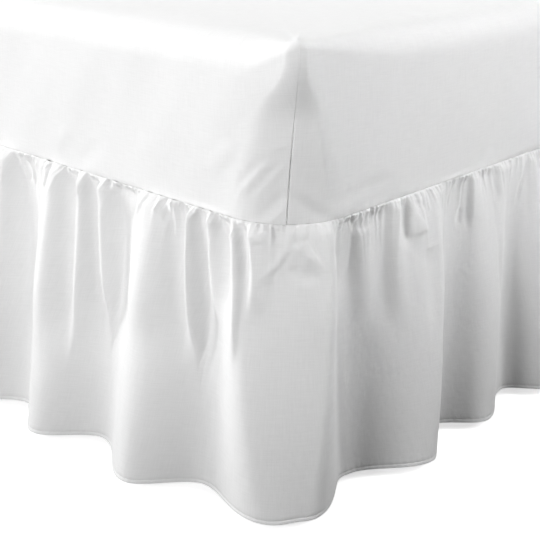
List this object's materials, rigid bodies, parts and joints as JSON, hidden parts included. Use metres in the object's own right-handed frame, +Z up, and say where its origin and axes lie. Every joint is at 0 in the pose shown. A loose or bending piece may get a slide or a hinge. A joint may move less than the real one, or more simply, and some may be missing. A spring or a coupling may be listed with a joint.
{
  "type": "fitted bed skirt on mattress and divan base",
  "caption": "White sheet boxed over a mattress with darted corners and a gathered frill that hangs to the floor round a divan base.",
  "frame": {"origin": "on the floor, under the middle of the whole shape's box, frill included", "axes": "+Z up, +Y towards the head end, +X to the right for someone looking from the foot to the head"},
  "size_m": [1.6006, 2.0606, 0.6487],
  "materials": {
    "white_cotton": "plain weave, matt",
    "mattress_ticking": "woven, matt",
    "base_cloth": "woven, matt",
    "glide_plastic": "moulded"
  },
  "bodies": {
    "root": {"fitted_sheet": "white_cotton", "frill": "white_cotton", "mattress": "mattress_ticking", "divan_base": "base_cloth", "glide_foot_left": "glide_plastic", "glide_foot_right": "glide_plastic", "glide_middle_left": "glide_plastic", "glide_middle_right": "glide_plastic", "glide_head_left": "glide_plastic", "glide_head_right": "glide_plastic"}
  },
  "joints": []
}
